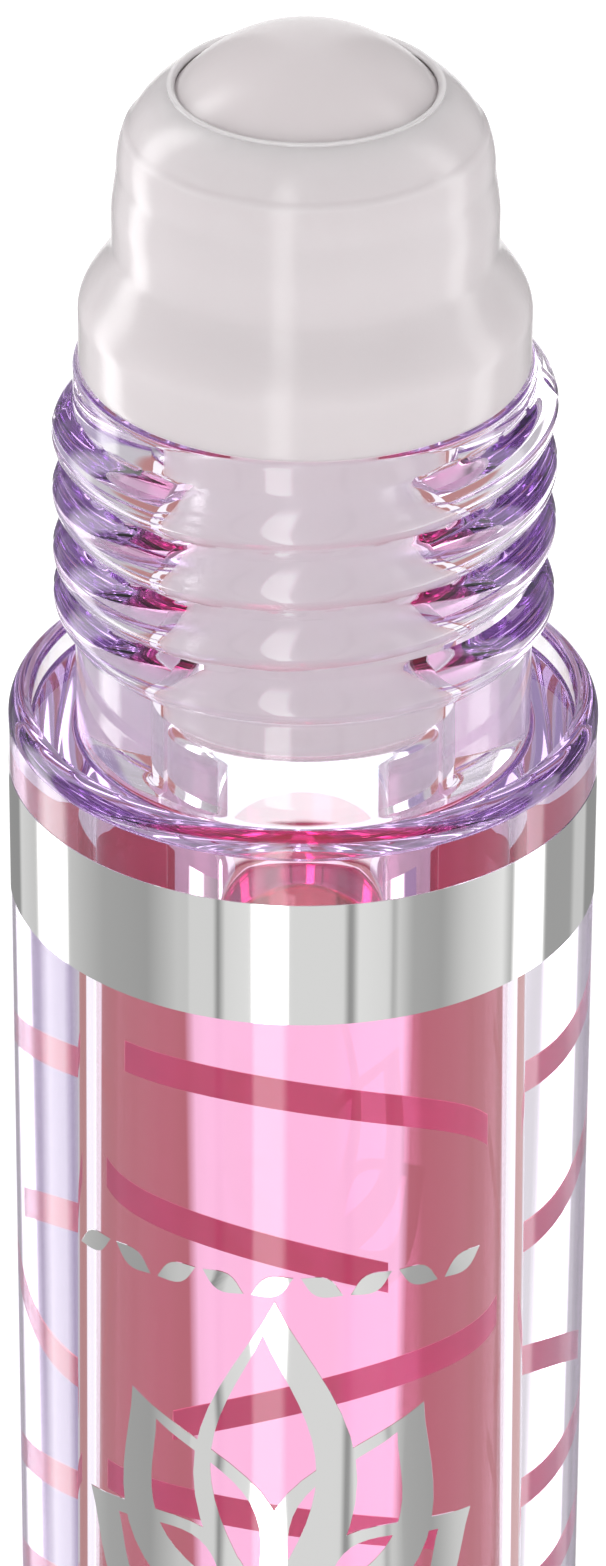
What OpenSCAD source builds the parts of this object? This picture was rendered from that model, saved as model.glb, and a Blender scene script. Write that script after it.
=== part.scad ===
// Roll-on lip gloss tube: thick-walled clear bottle, gloss, roller fitment, ball and foil stamping.
// Millimetres, +Z up, origin at the centre of the base's resting plane.

/* [Bottle] */
// Outer diameter of the tube
body_d = 16; // [15:0.5:18]
// Height from the base to the flat face round the neck
body_h = 62; // [55:1:75]
// How far the tube's rounded rim stands above that face
rim_h = 0.9; // [0.4:0.1:1.2]
// Width of the rim
rim_t = 0.62; // [0.5:0.02:0.8]
// Diameter of the chamber that holds the gloss
chamber_d = 7.1; // [6.5:0.1:8]
// Thickness of the base under the chamber
base_t = 3.4; // [2.5:0.1:5]
// Radius of the rim's outer edge
shoulder_r = 0.6; // [0.4:0.1:0.6]
// Radius of the rounded heel at the base
heel_r = 0.8; // [0.4:0.1:1.2]

/* [Neck] */
// Diameter of the neck at the root of the thread
neck_d = 12.3; // [12:0.1:12.8]
// Height of the neck above the flat face
neck_h = 11; // [10:0.1:12]
// Bore of the neck, which the plug fits
neck_bore_d = 4.8; // [4.4:0.1:5]
// Pitch of the cap thread
thread_pitch = 1.75; // [1.6:0.05:1.8]
// How far the thread and the bead under it stand out of the neck
thread_depth = 0.58; // [0.4:0.02:0.7]
// Number of half turns of thread
thread_half_turns = 6; // [3:1:6]

/* [Roller] */
// Diameter of the ball
ball_d = 8.8; // [8.4:0.1:9]
// Radial clearance between the ball and its seat
ball_gap = 0.05; // [0.03:0.01:0.1]
// Outer diameter of the cup that holds the ball
cup_d = 10.2; // [10:0.1:10.6]
// Diameter of the flange that rests on the neck
flange_d = 12; // [11.4:0.1:12.2]
// Height of the flange's straight side
flange_h = 1.5; // [1.2:0.1:1.8]
// Length of the plug inside the neck
plug_h = 10; // [9:0.1:10.2]

/* [Stamping] */
// Height of the foil band
band_h = 3.7; // [2:0.1:6]
// How much lower the band's edge lies round the back
band_drop = 1.9; // [0.5:0.1:3]
// Thickness of the stamped foil
foil_t = 0.03; // [0.02:0.01:0.06]
// Turn of the front stamping about the tube, in degrees
front_turn = -5; // [-10:1:10]

/* [Hidden] */
$fn = 96;

// Bottle heights and radii
body_r = body_d / 2;
chamber_r = chamber_d / 2;
neck_r = neck_d / 2;
bore_r = neck_bore_d / 2;
lip_z = body_h + neck_h;
lip_round = 0.15;
crest_z = body_h + rim_h;
chamber_top = body_h - 1.2;      // where the chamber meets the neck bore
chamber_round = 0.35;
recess_r = 4.6;                  // shallow recess under the base
recess_t = 0.4;

// Cap thread, and the plain bead round the neck under it
thread_z = body_h + 5.4;         // middle of the lowest half turn
thread_half = 0.56;
thread_bury = 0.25;
bead_z = body_h + 4.1;
bead_half = 0.6;

// Roller fitment
ball_r = ball_d / 2;
seat_r = ball_r + ball_gap;
web_t = 0.6;                     // wall under the ball
ball_z = lip_z + web_t + seat_r;
mouth_r = 3.4;                   // narrower than the ball, so the cup holds the ball in
mouth_z = ball_z + 2.85;
cup_top = ball_z + 2.95;
cup_r = cup_d / 2;
cup_draft = 0.14;                // how far the cup has narrowed where its rounding starts
cup_skirt_z = ball_z - 0.65;
cup_round_z = ball_z + 0.63;
cup_round = 2.68;
flange_r = flange_d / 2;
flange_top = lip_z + flange_h;
flange_blend = 2;                // height over which the flange runs into the cup
plug_z = lip_z - plug_h;
plug_r = bore_r - 0.1;
plug_core_r = 1.5;
feed_r = 1.1;
bead_r = 0.45;
bead_count = 3;
groove_w = 0.7;
groove_count = 4;

// Air bubble left under the plug
bubble_film = 0.12;
bubble_low = body_h - 4.2;
bubble_high = plug_z - 0.3;

// Stamped artwork: places are measured along the tube's surface, and up from the base
band_top = body_h - 1.1;
band_step_y = 2;                 // the band's lower edge steps down behind this plane
garland_z = body_h - 13.2;
leaf_l = 1.3;
leaf_w = 0.62;
leaf_count = 9;
leaf_step = 1.36;
blossom_z = body_h - 25.7;
petal_l = 12;
petal_w = 4.6;
petal_line = 0.82;
petal_shift = 0.32;              // makes one side of each petal's line wider than the other
petal_turns = [-54, -27, 0, 27, 54];
ribbon_w = 1;

// ---- Helpers ----

// A square whose outer upper corner is rounded, drawn from the axis outwards
module rounded_step(r, z0, z1, round_r) {
    translate([0, z0]) square([r, z1 - z0 - round_r]);
    translate([0, z0]) square([r - round_r, z1 - z0]);
    translate([r - round_r, z1 - round_r]) circle(round_r);
}

// Where a point at arc length s and height z lands when the surface is seen square on
function wrapped(s, z) = [body_r * sin(s / body_r * 180 / PI), z];

// Foil on the tube's surface, cut to the outline that is seen square on at that turn
module stamped(turn) {
    rotate([0, 0, turn]) intersection() {
        foil_shell(0, body_h - 1);
        rotate([90, 0, 0]) linear_extrude(height = body_r + 1) children();
    }
}

// A thin ring of foil on the tube's surface
module foil_shell(z0, z1) {
    rotate_extrude() translate([body_r, z0]) square([foil_t, z1 - z0]);
}

// A pointed leaf of given length and width, lying along angle a from its root at (s, z)
function leaf_side(l, w, side, n) = [
    for (i = [0:n]) let (t = side > 0 ? i / n : 1 - i / n) [l * t, side * w / 2 * pow(sin(180 * t), 1.15)]
];
function leaf_points(s, z, a, l, w, n = 10) = [
    for (p = concat(leaf_side(l, w, 1, n), leaf_side(l, w, -1, n)))
        wrapped(s + p[0] * cos(a) - p[1] * sin(a), z + p[0] * sin(a) + p[1] * cos(a))
];

// ---- Cap thread ----

// Thread profile, with its inner side buried in the neck
module thread_profile(half) {
    h = thread_depth;
    polygon([
        [neck_r - thread_bury, -half],
        [neck_r - 0.01, -half],
        [neck_r + 0.8 * h, -half * 0.5],
        [neck_r + h, -half * 0.25],
        [neck_r + h, half * 0.25],
        [neck_r + 0.8 * h, half * 0.5],
        [neck_r - 0.01, half],
        [neck_r - thread_bury, half]
    ]);
}

// Half turns that lean one way on the left and the other way on the right, so that they join into a helix
module cap_thread() {
    lean = atan(thread_pitch / 4 / neck_r);
    for (i = [0:thread_half_turns - 1]) {
        side = i % 2 == 0 ? -1 : 1;
        translate([0, 0, thread_z + thread_pitch / 2 * i])
            rotate([side * lean, 0, 0])
                rotate([0, 0, -side * 90])
                    rotate_extrude(angle = 180) thread_profile(thread_half);
    }
}

// ---- Bottle ----

module chamber_profile() {
    rounded_step(chamber_r, base_t, chamber_top, chamber_round);
    translate([0, chamber_top - 0.5]) square([bore_r, lip_z - chamber_top + 1.5]);
}

// Outline of the bottle's outside
module bottle_profile() {
    difference() {
        rounded_step(body_r, heel_r, crest_z, shoulder_r);
        translate([0, body_h]) square([body_r - rim_t, rim_h + 1]);
    }
    translate([body_r - heel_r, heel_r]) circle(heel_r);
    square([body_r - heel_r, heel_r + 1]);
    rounded_step(neck_r, body_h - 1, lip_z, lip_round);
    translate([0, bead_z]) thread_profile(bead_half);
}

module bottle() {
    color([0.86, 0.82, 0.93, 0.35]) difference() {
        union() {
            rotate_extrude() intersection() {
                bottle_profile();
                square([body_r + 1, lip_z + 1]);
            }
            cap_thread();
        }
        rotate_extrude() chamber_profile();
        translate([0, 0, -1]) cylinder(r = recess_r, h = recess_t + 1);
    }
}

// ---- Gloss ----

module bubble_profile() {
    rounded_step(bore_r - bubble_film, bubble_low, bubble_high, 0.7);
}

module gloss() {
    color([0.96, 0.45, 0.68, 0.75]) rotate_extrude() difference() {
        union() {
            intersection() {
                chamber_profile();
                square([chamber_r + 1, plug_z]);
            }
            square_up(plug_core_r, plug_z - 1, lip_z - 0.2);
        }
        bubble_profile();
    }
}

// A rectangle from the axis outwards, between two heights
module square_up(r, z0, z1) {
    translate([0, z0]) square([r, z1 - z0]);
}

// ---- Roller fitment ----

module plug_bead(z) {
    translate([plug_r + 0.1 - bead_r, z]) circle(bead_r);
}

// Half a wave that runs from radius r0 at height z0 in to radius r1 at height z1
function wave_points(r0, z0, r1, z1, n = 12) = [
    for (i = [0:n]) [r1 + (r0 - r1) * (1 + cos(180 * i / n)) / 2, z0 + (z1 - z0) * i / n]
];

module flange_profile() {
    square_up(flange_r, lip_z, flange_top);
    z1 = flange_top + flange_blend;
    polygon(concat([[0, flange_top]], wave_points(flange_r, flange_top, cup_r, z1), [[0, z1]]));
}

// The cup narrows a little towards the ball, then rounds over to its mouth
module cup_profile() {
    round_r = cup_r - cup_draft;
    square_up(cup_r, lip_z, cup_skirt_z);
    polygon([[0, cup_skirt_z], [cup_r, cup_skirt_z], [round_r, cup_round_z], [0, cup_round_z]]);
    intersection() {
        translate([round_r - cup_round, cup_round_z]) circle(cup_round);
        translate([round_r - cup_round, cup_round_z]) square([cup_round, cup_top - cup_round_z]);
    }
    square_up(round_r - cup_round, cup_round_z, cup_top);
}

module housing_profile() {
    difference() {
        union() {
            cup_profile();
            flange_profile();
            square_up(plug_r, plug_z, lip_z + 0.5);
            for (i = [0:bead_count - 1]) plug_bead(lip_z - 1.6 - 2.4 * i);
        }
        square_up(plug_core_r, plug_z - 1, lip_z - 0.1);
        square_up(feed_r, plug_z - 1, lip_z + 2);
        translate([0, ball_z]) circle(seat_r);
        square_up(mouth_r, mouth_z, cup_top + 1);
        translate([-20, 0]) square([20, cup_top + 5]);
    }
}

module roller_housing() {
    color([0.92, 0.9, 0.93]) difference() {
        rotate_extrude() housing_profile();
        for (i = [0:groove_count - 1])
            rotate([0, 0, 360 / groove_count * i + 45])
                translate([0, -groove_w / 2, lip_z + web_t - 0.35])
                    cube([3.1, groove_w, 1.2]);
    }
}

module roller_ball() {
    color([0.9, 0.87, 0.89]) translate([0, 0, ball_z]) sphere(r = ball_r);
}

// ---- Stamped foil ----

// The band, whose lower edge steps down round the back
module foil_band() {
    back_low = band_top - band_h - band_drop;
    color([0.8, 0.81, 0.82]) difference() {
        foil_shell(back_low, band_top);
        translate([-10, -10, back_low - 1]) cube([20, 10 + band_step_y, band_drop + 1]);
    }
}

// A row of small leaves round the front
module front_garland() {
    color([0.82, 0.82, 0.82]) stamped(front_turn)
        for (i = [0:leaf_count - 1]) {
            s = (i - (leaf_count - 1) / 2) * leaf_step - leaf_l / 2;
            lean = i % 2 == 0 ? 28 : -28;
            polygon(leaf_points(s, garland_z - leaf_l / 2 * sin(lean), lean, leaf_l, leaf_w, 8));
        }
}

// One outlined petal, leaning by angle a; the outer petals are shorter
module petal(a) {
    l = petal_l * (1 - 0.5 * abs(sin(a)));
    inset = petal_line * 2.2;
    shift = a < 0 ? petal_shift : -petal_shift;
    difference() {
        polygon(leaf_points(0, blossom_z, 90 - a, l, petal_w, 16));
        polygon(leaf_points(
            inset * sin(a) + shift * cos(a), blossom_z + inset * cos(a) - shift * sin(a), 90 - a,
            l - inset * 1.6, petal_w - petal_line * 2, 16
        ));
    }
}

// Five outlined petals that fan out from one point
module front_blossom() {
    color([0.82, 0.82, 0.82]) stamped(front_turn)
        for (a = petal_turns) petal(a);
}

// A slanted bar across the back, from one height to another
module ribbon(s0, z0, s1, z1) {
    n = 6;
    polygon([
        for (i = [0:n]) wrapped(s0 + (s1 - s0) * i / n, z0 + (z1 - z0) * i / n),
        for (i = [n:-1:0]) wrapped(s0 + (s1 - s0) * i / n, z0 + (z1 - z0) * i / n + ribbon_w)
    ]);
}

module back_ribbons() {
    color([0.55, 0.2, 0.3]) stamped(180) {
        ribbon(-3, 47, 2.6, 49.4);
        ribbon(-1, 42.2, 3.6, 45.6);
        ribbon(-3.8, 41, 1.5, 37);
        ribbon(-2, 33, 3.4, 35.2);
        ribbon(-3.4, 28.5, 2, 31);
        ribbon(-1, 24, 3.8, 26.4);
    }
}

bottle();
gloss();
roller_housing();
roller_ball();
foil_band();
front_garland();
front_blossom();
back_ribbons();
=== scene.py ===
"""Roll-on lip gloss tube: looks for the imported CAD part, in metres, in the part's own frame."""

import bmesh
import bpy
import math

from mathutils import Matrix, Vector


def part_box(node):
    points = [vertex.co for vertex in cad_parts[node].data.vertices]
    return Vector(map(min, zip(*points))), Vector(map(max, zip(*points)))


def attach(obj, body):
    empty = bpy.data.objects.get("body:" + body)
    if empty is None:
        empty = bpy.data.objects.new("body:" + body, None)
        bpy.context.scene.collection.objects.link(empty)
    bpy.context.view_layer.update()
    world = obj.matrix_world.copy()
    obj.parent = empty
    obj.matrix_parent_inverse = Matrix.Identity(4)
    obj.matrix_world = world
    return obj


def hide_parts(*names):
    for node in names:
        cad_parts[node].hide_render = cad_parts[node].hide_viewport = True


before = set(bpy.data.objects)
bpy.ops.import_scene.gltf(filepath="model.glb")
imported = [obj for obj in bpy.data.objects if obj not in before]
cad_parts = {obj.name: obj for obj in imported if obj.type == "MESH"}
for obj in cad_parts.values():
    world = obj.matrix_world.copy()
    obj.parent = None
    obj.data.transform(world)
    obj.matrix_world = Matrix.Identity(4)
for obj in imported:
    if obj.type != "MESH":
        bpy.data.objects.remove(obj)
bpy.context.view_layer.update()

MM = 0.001
TAU = 2 * math.pi

# ---- Dimensions in millimetres, from the frame's boxes ----


def span(node, axis):
    """The lowest and the highest place of a node along an axis."""
    low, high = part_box(node)
    return low[axis] / MM, high[axis] / MM


BODY_R = span("bottle", 0)[1]
LIP_Z = span("bottle", 2)[1]       # top of the neck
BASE_T = span("gloss", 2)[0]
CHAMBER_R = span("gloss", 0)[1]
PLUG_Z, CUP_TOP = span("roller_housing", 2)
FLANGE_R = span("roller_housing", 0)[1]
BALL_LOW, BALL_HIGH = span("roller_ball", 2)
BALL_R = (BALL_HIGH - BALL_LOW) / 2
BALL_Z = (BALL_HIGH + BALL_LOW) / 2

BAND_BACK_LOW, BAND_HIGH = span("foil_band", 2)
BAND_LOW = BAND_HIGH - 3.7         # the band's lower edge at the front
BAND_STEP_Y = 2                    # the edge steps down behind this plane
BAND_T = 0.03
RED_BACK_Y = 5                     # the step is lined in dark red painted shade behind this plane

SHOULDER_Z = BAND_HIGH + 1.1       # the flat face round the neck
CREST_Z = SHOULDER_Z + 0.9         # top of the rim round that face
CREST_IN = BODY_R - 0.62           # the rim's inner radius
CREST_WIDE = 0.5                   # the rim's outer rounding is a quarter of an ellipse
CREST_TALL = 0.6
CREST_EDGE = 0.05
WELL_ROUND = 0.12                  # between the rim and the flat face
BODY_GAP = 0.005                   # between the body's wall and the foil on it

NECK_R = 6.15
NECK_FOOT = 0.15                   # rounding at the neck's foot
LIP_OUT_ROUND = 0.15
LIP_IN_ROUND = 0.2
BORE_R = 2.4
BORE_EDGE = 0.15
CHAMBER_TOP = SHOULDER_Z - 1.2
CHAMBER_ROUND = 0.35
FLOOR_ROUND = 0.7                  # the chamber's lower corner

HEEL_ROUND = 0.8
RECESS_R = 4.6
RECESS_T = 0.4
GROOVE_T = 0.8                     # top of the small groove round the recess
GROOVE_IN = RECESS_R - 0.5
GROOVE_PEAK = RECESS_R - 0.4

THREAD_DEPTH = 0.58
THREAD_HALF = 0.86                 # half the width of its ridge
THREAD_PITCH = 1.75
THREAD_MID = SHOULDER_Z + 5.4      # height of the crest on the left of the lowest turn
THREAD_TURNS = 3.0
THREAD_RUNOUT = 0.12               # turns over which the thread rises from the neck
CREST_POWER = 0.4                  # below 1 makes the crests of the bead and the thread fuller
BEAD_Z = SHOULDER_Z + 4.1
BEAD_HALF = 0.8
SEAM_DIP = 0.1                     # share of the crest's height that is missing at the mould's seam
SEAM_HALF = 0.02                   # radians

CUP_R = 5.1
CUP_DRAFT = 0.14                   # how far the cup's side leans in at its top
CUP_LEAN_Z = BALL_Z - 0.65         # it stands straight up to here
CUP_ROUND = 2.68
CUP_ROUND_Z = BALL_Z + 0.63        # its shoulder rounds in from here
CUP_STEP = 0.07                    # a fine step in the cup's shoulder, which catches the light
SEAT_R = BALL_R + 0.05
MOUTH_R = 3.42
LIP_EDGE = 0.14
FLANGE_SKIRT = 1.5                 # straight part of the flange's side
FLANGE_BLEND = 2.0                 # height over which the flange runs into the cup
FLANGE_EDGE = 0.15
PLUG_EDGE = 0.25
PLUG_CORE_R = 1.5
FEED_R = 1.1

BUBBLE_FILM = 0.07
BUBBLE_LOW = SHOULDER_Z - 4.2
BUBBLE_HIGH = PLUG_Z - 0.12
BUBBLE_ROUND = 0.3
MENISCUS = 0.04                    # how far the bubble's floor climbs towards its edge
CONTACT_GAP = 0.008                # between two surfaces that touch
FILL_TOP = LIP_Z - 0.3             # top of the gloss in the plug's core

SEGMENTS = 192
BAND_SEGMENTS = 256
EDGE_GAP = 0.1                     # from an edge to the nearest ring of the straight beside it
ROUND_GAP = 0.4                    # from a rounded corner to that ring

# ---- Meshes ----


def arc(cx, cz, r, start, end, steps=10, tall=1.0):
    """Points of an arc in the profile plane, angles in degrees from +r towards +z."""
    angles = (math.radians(start + (end - start) * i / steps) for i in range(steps + 1))
    return [(cx + r * math.cos(a), cz + r * tall * math.sin(a)) for a in angles]


def line(r0, z0, r1, z1, steps):
    """Points between two profile points, both ends included."""
    return [(r0 + (r1 - r0) * i / steps, z0 + (z1 - z0) * i / steps) for i in range(steps + 1)]


def wave(r0, z0, r1, z1, steps=24):
    """Points of an S-shaped run between two profile points, upright at both ends."""
    points = []
    for i in range(steps + 1):
        share = 0.5 + 0.5 * math.cos(math.pi * i / steps)
        points.append((r1 + (r0 - r1) * share, z0 + (z1 - z0) * i / steps))
    return points


def add_ring(bm, r, z, radial, segments):
    """One ring of vertices, or a single one where the profile meets the axis."""
    if r < 1e-6:
        return [bm.verts.new((0, 0, z * MM))]
    ring = []
    for i in range(segments):
        theta = TAU * i / segments
        out = r + radial(theta, r, z) if radial else r
        ring.append(bm.verts.new((out * math.cos(theta) * MM, out * math.sin(theta) * MM, z * MM)))
    return ring


def join_rings(bm, low, high):
    """Faces between two rings, triangles where one of them is a single vertex."""
    segments = max(len(low), len(high))
    if segments == 1:
        return
    for i in range(segments):
        j = (i + 1) % segments
        if len(low) == 1:
            bm.faces.new((low[0], high[j], high[i]))
        elif len(high) == 1:
            bm.faces.new((low[i], low[j], high[0]))
        else:
            bm.faces.new((low[i], low[j], high[j], high[i]))


def add_revolved(bm, profile, radial=None, segments=SEGMENTS, closed=False):
    """Adds a profile of (r, z) points in mm turned about Z; radial(theta, r, z) may move a point out."""
    rings = [add_ring(bm, r, z, radial, segments) for r, z in profile]
    for low, high in zip(rings, rings[1:]):
        join_rings(bm, low, high)
    if closed:
        bmesh.ops.remove_doubles(bm, verts=rings[0] + rings[-1], dist=1e-7)


def turn_outward(bm):
    bmesh.ops.recalc_face_normals(bm, faces=bm.faces)


def new_object(name, data):
    piece = bpy.data.objects.new(name, data)
    bpy.context.scene.collection.objects.link(piece)
    return piece


def new_mesh(name, bm):
    mesh = bpy.data.meshes.new(name)
    bm.to_mesh(mesh)
    bm.free()
    return mesh


def finish_mesh(bm, name, sharp_angle):
    """Turns the bmesh into a smooth-shaded object, with the edges above an angle kept sharp."""
    mesh = new_mesh(name, bm)
    mesh.polygons.foreach_set("use_smooth", [True] * len(mesh.polygons))
    mesh.set_sharp_from_angle(angle=math.radians(sharp_angle))
    return new_object(name, mesh)


def mark(piece, name, test):
    """A point attribute that is 1 where test(index, place) holds for a vertex, with the place in mm."""
    layer = piece.data.attributes.new(name, "FLOAT", "POINT")
    values = [float(test(v.index, v.co / MM)) for v in piece.data.vertices]
    layer.data.foreach_set("value", values)


# ---- Materials ----

PLASTIC_IOR = 1.57
GLOSS_IOR = 1.46
MILKY_IOR = 1.49

WALL_TINT, WALL_DENSITY = (0.45, 0.1, 0.65), 14
GLOSS_TINT, GLOSS_DENSITY = (0.97, 0.06, 0.55), 100
BUBBLE_LIGHT, BUBBLE_LEVEL = (0.8, 1, 0.99), 0.85
PLUG_LIGHT, PLUG_LEVEL = (0.95, 0.87, 0.915), 0.31

SCATTER_LENGTHS = (1, 0.97, 0.98)
SCATTER_SCALE = 0.0008
BUMP_HEIGHT = 0.00001
WHITE = (1, 1, 1, 1)


def new_material(name):
    material = bpy.data.materials.new(name)
    material.use_nodes = True
    tree = material.node_tree
    return material, tree, tree.nodes["Principled BSDF"]


def add(tree, kind, inputs=None, **properties):
    """Adds a node, sets its properties, and then its inputs by name or place."""
    node = tree.nodes.new(kind)
    for key, value in properties.items():
        setattr(node, key, value)
    for key, value in (inputs or {}).items():
        node.inputs[key].default_value = value
    return node


def object_noise(tree, scale, detail=2.0, stretch=(1, 1, 1)):
    """Noise in object coordinates, with a cell of about 1 / scale metres."""
    coords = add(tree, "ShaderNodeTexCoord")
    mapping = add(tree, "ShaderNodeMapping", {"Scale": stretch})
    noise = add(tree, "ShaderNodeTexNoise", {"Scale": scale, "Detail": detail})
    tree.links.new(coords.outputs["Object"], mapping.inputs["Vector"])
    tree.links.new(mapping.outputs["Vector"], noise.inputs["Vector"])
    return noise.outputs["Fac"]


def remap(tree, source, low, high):
    """A value of 0 to 1 turned into one of low to high."""
    node = add(tree, "ShaderNodeMapRange", {"To Min": low, "To Max": high})
    tree.links.new(source, node.inputs["Value"])
    return node.outputs["Result"]


def shade_colour(tree, shader, factor, colour, darkest):
    """A base colour that varies between a darker shade and the colour itself."""
    shades = {"A": (*(c * darkest for c in colour), 1), "B": (*colour, 1)}
    blend = add(tree, "ShaderNodeMix", shades, data_type="RGBA")
    tree.links.new(factor, blend.inputs["Factor"])
    tree.links.new(blend.outputs["Result"], shader.inputs["Base Color"])


def add_bump(tree, shader, source, strength):
    bump = add(tree, "ShaderNodeBump", {"Strength": strength, "Distance": BUMP_HEIGHT})
    tree.links.new(source, bump.inputs["Height"])
    tree.links.new(bump.outputs["Normal"], shader.inputs["Normal"])


def absorb(tree, colour, density):
    """Beer-Lambert absorption inside the piece; density is per metre."""
    volume = add(tree, "ShaderNodeVolumeAbsorption", {"Color": (*colour, 1), "Density": density})
    tree.links.new(volume.outputs["Volume"], tree.nodes["Material Output"].inputs["Volume"])


def switch_ior(tree, shader, plain, wetted):
    """The refractive index step at a surface, which differs where the surface is marked wetted."""
    layer = add(tree, "ShaderNodeAttribute", attribute_name="wetted")
    shader.inputs["IOR"].default_value = plain
    tree.links.new(remap(tree, layer.outputs["Fac"], plain, wetted), shader.inputs["IOR"])


def light_marked(tree, shader, colour, level):
    """Emission on the faces marked lit, for light that scatters in from all sides."""
    layer = add(tree, "ShaderNodeAttribute", attribute_name="lit")
    shader.inputs["Emission Color"].default_value = (*colour, 1)
    tree.links.new(remap(tree, layer.outputs["Fac"], 0, level), shader.inputs["Emission Strength"])


def clear_plastic():
    material, tree, shader = new_material("clear_plastic")
    shader.inputs["Base Color"].default_value = WHITE
    shader.inputs["Transmission Weight"].default_value = 1
    tree.links.new(remap(tree, object_noise(tree, 900), 0.0, 0.02), shader.inputs["Roughness"])
    switch_ior(tree, shader, PLASTIC_IOR, PLASTIC_IOR / GLOSS_IOR)
    absorb(tree, WALL_TINT, WALL_DENSITY)
    return material


def pink_gloss():
    material, tree, shader = new_material("pink_gloss")
    shader.inputs["Base Color"].default_value = WHITE
    shader.inputs["Roughness"].default_value = 0
    shader.inputs["Transmission Weight"].default_value = 1
    switch_ior(tree, shader, GLOSS_IOR, 1.0)
    light_marked(tree, shader, BUBBLE_LIGHT, BUBBLE_LEVEL)
    absorb(tree, GLOSS_TINT, GLOSS_DENSITY)
    return material


def frosted_plastic(name, colour, roughness, light=None, level=0.0):
    """Milky plastic with a faint cloud and a fine grain; light and level are for its marked faces."""
    material, tree, shader = new_material(name)
    if light:
        light_marked(tree, shader, light, level)
    shade_colour(tree, shader, object_noise(tree, 260, 3), colour, 0.96)
    shader.inputs["Subsurface Weight"].default_value = 1
    shader.inputs["Subsurface Radius"].default_value = SCATTER_LENGTHS
    shader.inputs["Subsurface Scale"].default_value = SCATTER_SCALE
    shader.inputs["IOR"].default_value = MILKY_IOR
    grain = object_noise(tree, 5200, 2)
    tree.links.new(remap(tree, grain, roughness - 0.05, roughness + 0.05), shader.inputs["Roughness"])
    add_bump(tree, shader, grain, 0.3)
    return material


def silver_foil():
    material, tree, shader = new_material("silver_foil")
    shader.inputs["Base Color"].default_value = (0.9, 0.9, 0.89, 1)
    shader.inputs["Metallic"].default_value = 1
    streaks = object_noise(tree, 700, 2, (1, 1, 0.12))
    tree.links.new(remap(tree, streaks, 0.02, 0.09), shader.inputs["Roughness"])
    add_bump(tree, shader, streaks, 0.35)
    return material


def ink_with_painted_glow(name, colour, glow):
    """Foil, primer, painted shade or a painted reflection seen through the wall; glow is painted light
    that stands for the light that leaks round it.
    """
    material, tree, shader = new_material(name)
    mottle = object_noise(tree, 900, 3)
    shade_colour(tree, shader, mottle, colour, 0.8)
    tree.links.new(remap(tree, mottle, 0.35, 0.5), shader.inputs["Roughness"])
    shader.inputs["Emission Color"].default_value = (*colour, 1)
    shader.inputs["Emission Strength"].default_value = glow
    return material


# ---- Pieces ----


def ridge(u):
    """Height of a rounded ridge: 1 on the crest, 0 at u = 1 and beyond."""
    return (0.5 + 0.5 * math.cos(math.pi * min(1, abs(u)))) ** CREST_POWER


def thread_height(theta, r, z):
    """How far the bead and the helical thread stand out at an angle and a height."""
    if r < NECK_R - 0.01 or z < SHOULDER_Z + 1:
        return 0
    height = ridge((z - BEAD_Z) / BEAD_HALF)
    start = THREAD_MID - THREAD_PITCH / 4
    for turn in range(-1, 4):
        t = theta / TAU - 0.25 + turn
        rise = max(0, min(1, t / THREAD_RUNOUT, (THREAD_TURNS - t) / THREAD_RUNOUT))
        if rise > 0:
            height = max(height, rise * ridge((z - start - THREAD_PITCH * t) / THREAD_HALF))
    off_seam = min(1, abs(math.sin(theta)) / SEAM_HALF)
    return THREAD_DEPTH * height * (1 - SEAM_DIP + SEAM_DIP * off_seam)


def chamber_wall(gap):
    """Profile of the chamber and the foot of the bore from the bottom up, inset by gap."""
    low_corner = CHAMBER_R - FLOOR_ROUND
    top_corner = CHAMBER_R - CHAMBER_ROUND
    round_z = CHAMBER_TOP - CHAMBER_ROUND
    wall_r = CHAMBER_R - gap
    wall = [(0, BASE_T + gap)]
    wall += line(0.9, BASE_T + gap, low_corner - 0.2, BASE_T + gap, 3)
    wall += arc(low_corner, BASE_T + FLOOR_ROUND, FLOOR_ROUND - gap, -90, 0, 8)
    wall += line(wall_r, BASE_T + 1.5, wall_r, round_z - EDGE_GAP, 12)
    wall += arc(top_corner, round_z, CHAMBER_ROUND - gap, 0, 90, 8)
    wall += arc(BORE_R + BORE_EDGE, CHAMBER_TOP + BORE_EDGE, BORE_EDGE + gap, 270, 180, 5)
    return wall


def body_profile():
    """Outside of the body, from the recess under the base up to the flat face round the neck."""
    r = BODY_R - BODY_GAP
    profile = [(0, RECESS_T), (GROOVE_IN, RECESS_T), (GROOVE_PEAK, GROOVE_T), (RECESS_R, 0)]
    profile += arc(r - HEEL_ROUND, HEEL_ROUND, HEEL_ROUND, -90, 0, 8)
    profile += line(r, HEEL_ROUND + 1, r, CREST_Z - 0.85, 14)
    profile += arc(r - CREST_WIDE, CREST_Z - CREST_TALL, CREST_WIDE, 0, 90, 16, CREST_TALL / CREST_WIDE)
    profile += arc(CREST_IN + CREST_EDGE, CREST_Z - CREST_EDGE, CREST_EDGE, 95, 180, 3)
    profile += arc(CREST_IN - WELL_ROUND, SHOULDER_Z + WELL_ROUND, WELL_ROUND, 0, -90, 5)
    return profile


def neck_profile():
    """The neck from its foot, over its lip and down the bore."""
    profile = arc(NECK_R + NECK_FOOT, SHOULDER_Z + NECK_FOOT, NECK_FOOT, 270, 180, 5)
    profile += line(NECK_R, SHOULDER_Z + ROUND_GAP, NECK_R, LIP_Z - LIP_OUT_ROUND - 0.02, 150)
    profile += arc(NECK_R - LIP_OUT_ROUND, LIP_Z - LIP_OUT_ROUND, LIP_OUT_ROUND, 0, 90, 6)
    profile += arc(BORE_R + LIP_IN_ROUND, LIP_Z - LIP_IN_ROUND, LIP_IN_ROUND, 90, 180, 4)
    profile += line(BORE_R, LIP_Z - ROUND_GAP, BORE_R, CHAMBER_TOP + 0.3, 30)
    return profile


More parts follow.
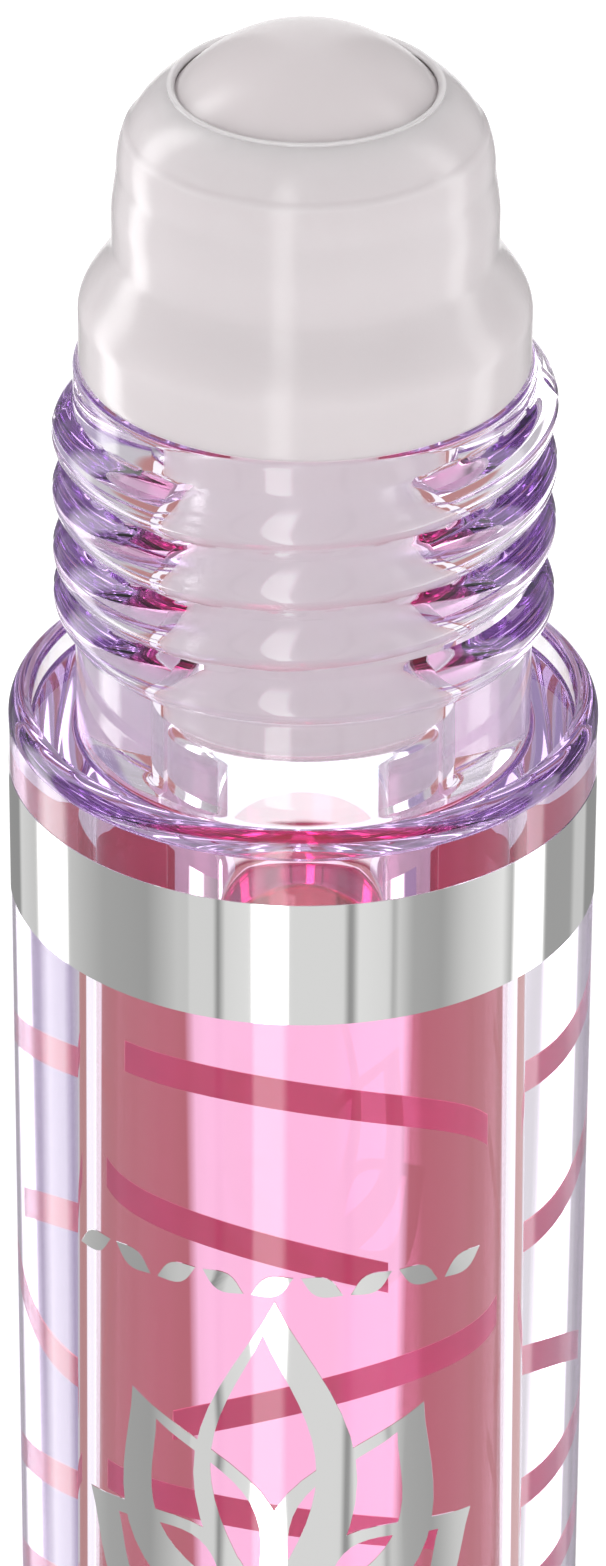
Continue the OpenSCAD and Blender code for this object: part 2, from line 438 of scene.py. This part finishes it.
def make_bottle():
    """The clear moulding, with the walls of its chamber and bore marked as wetted by the gloss."""
    bm = bmesh.new()
    inside = list(reversed(chamber_wall(0)))
    add_revolved(bm, body_profile() + neck_profile() + inside, thread_height)
    turn_outward(bm)
    piece = finish_mesh(bm, "bottle_shell", 50)
    mark(piece, "wetted", lambda i, p: math.hypot(p.x, p.y) < CHAMBER_R + 0.05 and p.z > BASE_T - 0.01)
    return piece


def fill_profile():
    """The gloss in the chamber, the bore and the plug's core, up to just under the feed hole."""
    bore_r = BORE_R - CONTACT_GAP
    core_r = PLUG_CORE_R - CONTACT_GAP
    plug_z = PLUG_Z - CONTACT_GAP
    profile = chamber_wall(CONTACT_GAP)
    profile += line(bore_r, CHAMBER_TOP + BORE_EDGE, bore_r, plug_z, 6)
    profile += [(core_r, plug_z)]
    profile += line(core_r, PLUG_Z + 0.2, core_r, FILL_TOP, 8)
    profile += [(0, FILL_TOP)]
    return profile


def bubble_profile():
    """Air left under the plug, nearly as wide as the bore."""
    r = BORE_R - BUBBLE_FILM
    corner = r - BUBBLE_ROUND
    profile = [(0, BUBBLE_LOW)]
    profile += line(0.8, BUBBLE_LOW, corner - 0.2, BUBBLE_LOW + MENISCUS / 2, 3)
    profile += arc(corner, BUBBLE_LOW + MENISCUS + BUBBLE_ROUND, BUBBLE_ROUND, -80, 0, 8)
    profile += line(r, BUBBLE_LOW + 0.6, r, BUBBLE_HIGH - 0.35, 12)
    profile += arc(corner, BUBBLE_HIGH - BUBBLE_ROUND, BUBBLE_ROUND, 0, 90, 10)
    profile += [(0, BUBBLE_HIGH)]
    return profile


def make_gloss():
    """The fill, with the bubble as a hollow inside it, and the bubble's back wall marked as lit."""
    bm = bmesh.new()
    add_revolved(bm, fill_profile())
    turn_outward(bm)
    outside = set(bm.faces)
    wetted = len(bm.verts)
    add_revolved(bm, bubble_profile())
    inside = [f for f in bm.faces if f not in outside]
    bmesh.ops.recalc_face_normals(bm, faces=inside)
    bmesh.ops.reverse_faces(bm, faces=inside)
    piece = finish_mesh(bm, "gloss_fill", 50)
    mark(piece, "wetted", lambda i, p: i < wetted)
    mark(piece, "lit", lambda i, p: i >= wetted and p.y > 0.2 and p.z > BUBBLE_LOW + 0.5)
    return piece


def plug_profile():
    """The plug's outside from its lower end, and the flange's underside on the neck's lip."""
    plug_r = BORE_R - CONTACT_GAP
    profile = [(PLUG_CORE_R, PLUG_Z)]
    profile += arc(plug_r - PLUG_EDGE, PLUG_Z + PLUG_EDGE, PLUG_EDGE, -90, 0, 4)
    profile += line(plug_r, PLUG_Z + ROUND_GAP, plug_r, LIP_Z - EDGE_GAP, 20)
    profile += [(plug_r + 0.2, LIP_Z)]
    profile += line(plug_r + 0.5, LIP_Z, FLANGE_R - ROUND_GAP, LIP_Z, 4)
    return profile


def cup_profile():
    """The flange's side, the cup's side and its rounded shoulder, over the lip to the mouth."""
    skirt_top = LIP_Z + FLANGE_SKIRT
    side_low = skirt_top + FLANGE_BLEND
    top_r = CUP_R - CUP_DRAFT
    round_r = top_r - CUP_ROUND
    profile = arc(FLANGE_R - FLANGE_EDGE, LIP_Z + FLANGE_EDGE, FLANGE_EDGE, -90, 0, 4)
    profile += line(FLANGE_R, LIP_Z + ROUND_GAP, FLANGE_R, skirt_top - EDGE_GAP, 4)
    profile += wave(FLANGE_R, skirt_top, CUP_R, side_low)
    profile += line(CUP_R, side_low + EDGE_GAP, CUP_R, CUP_LEAN_Z, 4)
    profile += line(CUP_R - 0.01, CUP_LEAN_Z + 0.2, top_r, CUP_ROUND_Z - EDGE_GAP, 6)
    profile += arc(round_r, CUP_ROUND_Z, CUP_ROUND, 0, 22, 10)
    profile += arc(round_r, CUP_ROUND_Z, CUP_ROUND - CUP_STEP, 25, 59, 14)
    profile += arc(MOUTH_R + LIP_EDGE, CUP_TOP - LIP_EDGE, LIP_EDGE, 60, 180, 8)
    return profile


def seat_profile():
    """The ball's seat and the feed hole, and the plug's core down to its lower end."""
    mouth_angle = math.degrees(math.acos(MOUTH_R / SEAT_R))
    feed_angle = -math.degrees(math.acos(FEED_R / SEAT_R))
    profile = arc(0, BALL_Z, SEAT_R, mouth_angle, feed_angle, 40)
    profile += line(FEED_R, profile[-1][1] - EDGE_GAP, FEED_R, LIP_Z - EDGE_GAP, 2)
    profile += [(PLUG_CORE_R, LIP_Z - 0.12)]
    profile += line(PLUG_CORE_R, LIP_Z - 0.3, PLUG_CORE_R, PLUG_Z + 0.2, 8)
    profile += [(PLUG_CORE_R, PLUG_Z)]
    return profile


def make_housing():
    """The roller's fitment, with the plug's faces inside the neck marked as lit."""
    bm = bmesh.new()
    add_revolved(bm, plug_profile() + cup_profile() + seat_profile(), closed=True)
    turn_outward(bm)
    piece = finish_mesh(bm, "roller_cup", 40)
    mark(piece, "lit", lambda i, p: p.z < LIP_Z + 0.05)
    return piece


def make_ball():
    bm = bmesh.new()
    side = arc(0, BALL_Z, BALL_R, -90, 90, 96)[1:-1]
    add_revolved(bm, [(0, BALL_Z - BALL_R)] + side + [(0, BALL_Z + BALL_R)])
    turn_outward(bm)
    return finish_mesh(bm, "ball", 60)


def make_band():
    """The foil ring, with its lower edge pulled down round the back."""
    outer, inner = BODY_R + BAND_T, BODY_R
    edge = BAND_LOW + 0.05
    profile = [(outer, BAND_LOW)] + line(outer, edge, outer, BAND_HIGH, 8)
    profile += line(inner, BAND_HIGH, inner, edge, 8) + [(inner, BAND_LOW), (outer, BAND_LOW)]
    bm = bmesh.new()
    add_revolved(bm, profile, segments=BAND_SEGMENTS, closed=True)
    for v in bm.verts:
        if abs(v.co.z / MM - BAND_LOW) < 0.01 and v.co.y / MM > BAND_STEP_Y:
            v.co.z = BAND_BACK_LOW * MM
    turn_outward(bm)
    return finish_mesh(bm, "band", 40)


def line_inside(piece, upper, lower):
    """Puts one material on the faces that look at the axis, and another, a dark red painted shade, on
    the back of the step.
    """
    piece.data.materials.append(upper)
    piece.data.materials.append(lower)
    for face in piece.data.polygons:
        if face.normal.x * face.center.x + face.normal.y * face.center.y < 0:
            x, y, z = face.center / MM
            face.material_index = 2 if z < BAND_LOW and y > RED_BACK_Y else 1


CLEAR = clear_plastic()
GLOSS = pink_gloss()
FROSTED = frosted_plastic("frosted_plastic", (0.7, 0.652, 0.667), 0.18, PLUG_LIGHT, PLUG_LEVEL)
BALL = frosted_plastic("ball_plastic", (0.7, 0.648, 0.66), 0.22)
FOIL = silver_foil()
# Painted light: the foil's backing glows for the light that leaks round it
FOIL_INSIDE = ink_with_painted_glow("foil_backing", (0.95, 0.92, 0.95), 0.22)
# Painted shade: dark red on the back of the band's step, for the gloss that the foil keeps in shade
RED_PAINTED_SHADE = ink_with_painted_glow("red_painted_shade", (0.66, 0.12, 0.17), 0.14)
# Painted reflection: the back foil is silver; this red and its glow stand for the front light it
# reflects through the gloss
BACK_FOIL_PAINTED_REFLECTION = ink_with_painted_glow("back_foil", (0.9, 0.22, 0.32), 0.22)

for piece, node, body, slot, material in (
    (make_bottle(), "bottle", "tube", "clear_plastic", CLEAR),
    (make_gloss(), "gloss", "tube", "pink_gloss", GLOSS),
    (make_housing(), "roller_housing", "tube", "frosted_plastic", FROSTED),
    (make_ball(), "roller_ball", "ball", "ball_plastic", BALL),
    (make_band(), "foil_band", "tube", "silver_foil", FOIL),
):
    piece.data.materials.append(material)
    if node == "foil_band":
        line_inside(piece, FOIL_INSIDE, RED_PAINTED_SHADE)
    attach(piece, body)
    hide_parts(node)

for name, material in (("front_garland", FOIL), ("front_blossom", FOIL), ("back_ribbons", BACK_FOIL_PAINTED_REFLECTION)):
    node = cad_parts[name]
    node.data.materials.clear()
    node.data.materials.append(material)

# ---- Studio ----

FLOOR_PAPER = (0.9, 0.9, 0.9, 1)
FLOOR_GLOW = 0.45


def make_floor():
    """Paper that shows to the camera, but not through the clear pieces or in reflections."""
    bm = bmesh.new()
    bmesh.ops.create_grid(bm, x_segments=1, y_segments=1, size=3)
    floor = new_object("floor", new_mesh("floor", bm))
    material, tree, shader = new_material("floor_paper")
    shader.inputs["Base Color"].default_value = FLOOR_PAPER
    shader.inputs["Roughness"].default_value = 0.8
    shader.inputs["Emission Color"].default_value = WHITE
    shader.inputs["Emission Strength"].default_value = FLOOR_GLOW
    floor.data.materials.append(material)
    floor.visible_transmission = False
    floor.visible_glossy = False


RED_DARK = (0.52, 0.24, 0.22)
VIOLET_DARK = (0.4, 0.34, 0.5)
# Azimuth in degrees, left positive, 0 behind the tube and 180 at the camera; then brightness or colour.
# A ramp holds 32 stops, so the cards on the camera's left have a ramp of their own.
CARDS = (
    (-180, 0.74), (-164, 0.74), (-161, 0.2), (-158, 0.8), (-146, 0.74), (-144, 0.4), (-142, 0.66),
    (-136, 0.42), (-124, 0.38), (-113, 0.62), (-95, 0.85), (-90, 0.45), (-86, 2.4), (-73, 2.4),
    (-70, VIOLET_DARK), (-50, VIOLET_DARK), (-46, 0.6), (-36, 0.6), (-33, RED_DARK), (-13.2, RED_DARK),
    (-12.6, 1.15), (12.6, 1.15), (13.2, RED_DARK), (33, RED_DARK), (36, 0.7), (52, 0.6), (60, 4.0),
    (71, 4.0), (76, 0.6), (96, 0.4), (117, 0.36), (130, 0.6)
)
FRONT_CARDS = (
    (140, 0.7), (145, 0.7), (147, 0.25), (150, 0.74), (160, 0.8), (162, 4.0), (172, 4.0), (175, 0.74)
)
FRONT_START = 135
BRIGHTEST = 4.0                    # a ramp's colours are shares of this level
DOME = (0.24, 0.23, 0.25, 1)       # overhead, also a share of it
DOME_START, DOME_FULL = 0.55, 0.9  # sines of the elevation


def world_azimuth(tree, direction):
    """Angle round Z from behind the tube, in radians."""
    flip = add(tree, "ShaderNodeMath", {1: -1}, operation="MULTIPLY")
    azimuth = add(tree, "ShaderNodeMath", operation="ARCTAN2")
    tree.links.new(direction.outputs["X"], flip.inputs[0])
    tree.links.new(flip.outputs["Value"], azimuth.inputs[0])
    tree.links.new(direction.outputs["Y"], azimuth.inputs[1])
    return azimuth.outputs["Value"]


def card_ramp(tree, azimuth, cards, low, high):
    """The cards between two azimuths as a colour ramp."""
    limits = {"From Min": math.radians(low), "From Max": math.radians(high)}
    part = add(tree, "ShaderNodeMapRange", limits)
    ramp = add(tree, "ShaderNodeValToRGB")
    tree.links.new(azimuth, part.inputs["Value"])
    tree.links.new(part.outputs["Result"], ramp.inputs["Fac"])
    elements = ramp.color_ramp.elements
    while len(elements) > 1:
        elements.remove(elements[-1])
    for i, (angle, level) in enumerate(cards):
        place = (angle - low) / (high - low)
        stop = elements[0] if i == 0 else elements.new(place)
        stop.position = place
        colour = level if isinstance(level, tuple) else (level, level, level)
        stop.color = (*(c / BRIGHTEST for c in colour), 1)
    return ramp.outputs["Color"]


def card_ring(tree, direction):
    """All the cards round the tube."""
    azimuth = world_azimuth(tree, direction)
    pick = add(tree, "ShaderNodeMath", {1: math.radians(FRONT_START)}, operation="GREATER_THAN")
    ring = add(tree, "ShaderNodeMix", data_type="RGBA")
    tree.links.new(azimuth, pick.inputs[0])
    tree.links.new(pick.outputs["Value"], ring.inputs["Factor"])
    tree.links.new(card_ramp(tree, azimuth, CARDS, -180, FRONT_START), ring.inputs["A"])
    tree.links.new(card_ramp(tree, azimuth, FRONT_CARDS, FRONT_START, 180), ring.inputs["B"])
    return ring.outputs["Result"]


def studio_light(tree, direction):
    """The cards, running into the dome overhead, at their full brightness."""
    limits = {"From Min": DOME_START, "From Max": DOME_FULL}
    overhead = add(tree, "ShaderNodeMapRange", limits, interpolation_type="SMOOTHSTEP")
    dome = add(tree, "ShaderNodeMix", {"B": DOME}, data_type="RGBA")
    scale = add(tree, "ShaderNodeVectorMath", {"Scale": BRIGHTEST}, operation="SCALE")
    tree.links.new(direction.outputs["Z"], overhead.inputs["Value"])
    tree.links.new(overhead.outputs["Result"], dome.inputs["Factor"])
    tree.links.new(card_ring(tree, direction), dome.inputs["A"])
    tree.links.new(dome.outputs["Result"], scale.inputs[0])
    return scale.outputs["Vector"]


def make_world():
    """Cards in colour through the clear pieces, in grey everywhere else, and white to the camera."""
    world = bpy.data.worlds.new("studio")
    bpy.context.scene.world = world
    world.use_nodes = True
    tree = world.node_tree
    coords = add(tree, "ShaderNodeTexCoord")
    direction = add(tree, "ShaderNodeSeparateXYZ")
    tree.links.new(coords.outputs["Generated"], direction.inputs["Vector"])
    light = studio_light(tree, direction)

    path = add(tree, "ShaderNodeLightPath")
    grey = add(tree, "ShaderNodeRGBToBW")
    tint = add(tree, "ShaderNodeMix", data_type="RGBA")
    seen = add(tree, "ShaderNodeMix", {"B": WHITE}, data_type="RGBA")
    tree.links.new(light, grey.inputs["Color"])
    tree.links.new(path.outputs["Is Transmission Ray"], tint.inputs["Factor"])
    tree.links.new(grey.outputs["Val"], tint.inputs["A"])
    tree.links.new(light, tint.inputs["B"])
    tree.links.new(path.outputs["Is Camera Ray"], seen.inputs["Factor"])
    tree.links.new(tint.outputs["Result"], seen.inputs["A"])
    tree.links.new(seen.outputs["Result"], tree.nodes["Background"].inputs["Color"])


CAMERA_DOWN = 30.5                 # degrees that it looks down
CAMERA_ROLL = 0.28
CAMERA_DISTANCE = 222 * MM
CAMERA_TARGET = Vector((0, 0, (SHOULDER_Z - 2.06) * MM))


def make_camera():
    data = bpy.data.cameras.new("camera")
    data.sensor_width = 36
    data.lens = 187.4
    data.clip_start = 0.01
    camera = new_object("camera", data)
    down = math.radians(CAMERA_DOWN)
    camera.location = CAMERA_TARGET + CAMERA_DISTANCE * Vector((0, -math.cos(down), math.sin(down)))
    aim = (CAMERA_TARGET - camera.location).to_track_quat("-Z", "Y").to_matrix().to_4x4()
    roll = Matrix.Rotation(math.radians(CAMERA_ROLL), 4, "Z")
    camera.matrix_world = Matrix.Translation(camera.location) @ aim @ roll
    bpy.context.scene.camera = camera


make_floor()
make_world()
make_camera()

scene = bpy.context.scene
scene.view_settings.view_transform = "Standard"
scene.cycles.max_bounces = 48      # light crosses many walls in the thread and the rim
scene.cycles.transmission_bounces = 48
scene.cycles.glossy_bounces = 24
scene.cycles.transparent_max_bounces = 16
